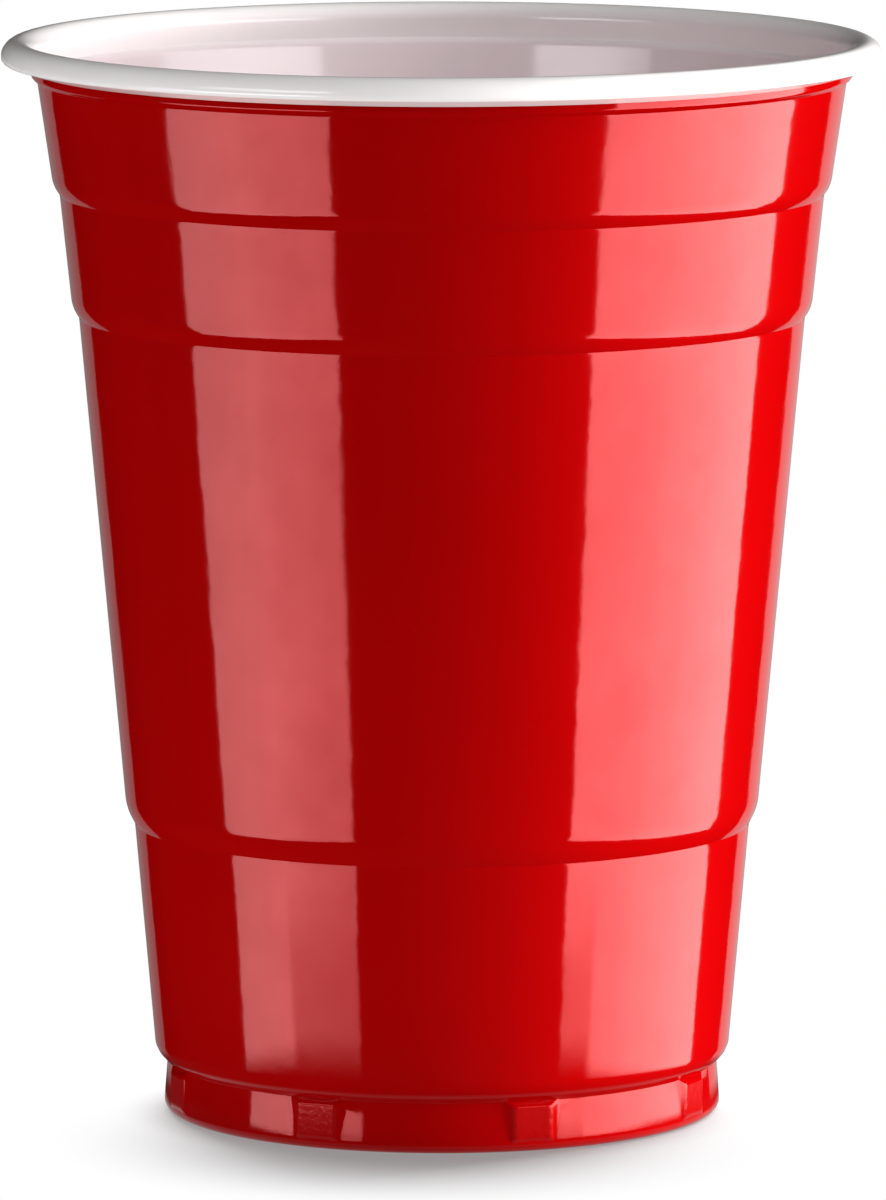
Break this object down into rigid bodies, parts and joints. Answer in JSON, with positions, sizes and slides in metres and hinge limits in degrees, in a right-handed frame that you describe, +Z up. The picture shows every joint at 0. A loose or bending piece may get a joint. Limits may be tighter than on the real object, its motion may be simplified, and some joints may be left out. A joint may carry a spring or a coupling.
{
  "type": "plastic party cup",
  "caption": "Tapered disposable drinking cup formed from one plastic sheet, red outside and white inside, with stepped bands, a rolled rim and an undercut foot with lugs.",
  "frame": {"origin": "centre of the foot, on the surface that the cup stands on", "axes": "+Z up along the cup's axis, out of its mouth; X and Y each pass midway between two foot lugs"},
  "size_m": [0.095, 0.095, 0.1166],
  "materials": {
    "cup_sheet": "gloss"
  },
  "bodies": {
    "root": {"cup": "cup_sheet"}
  },
  "joints": []
}
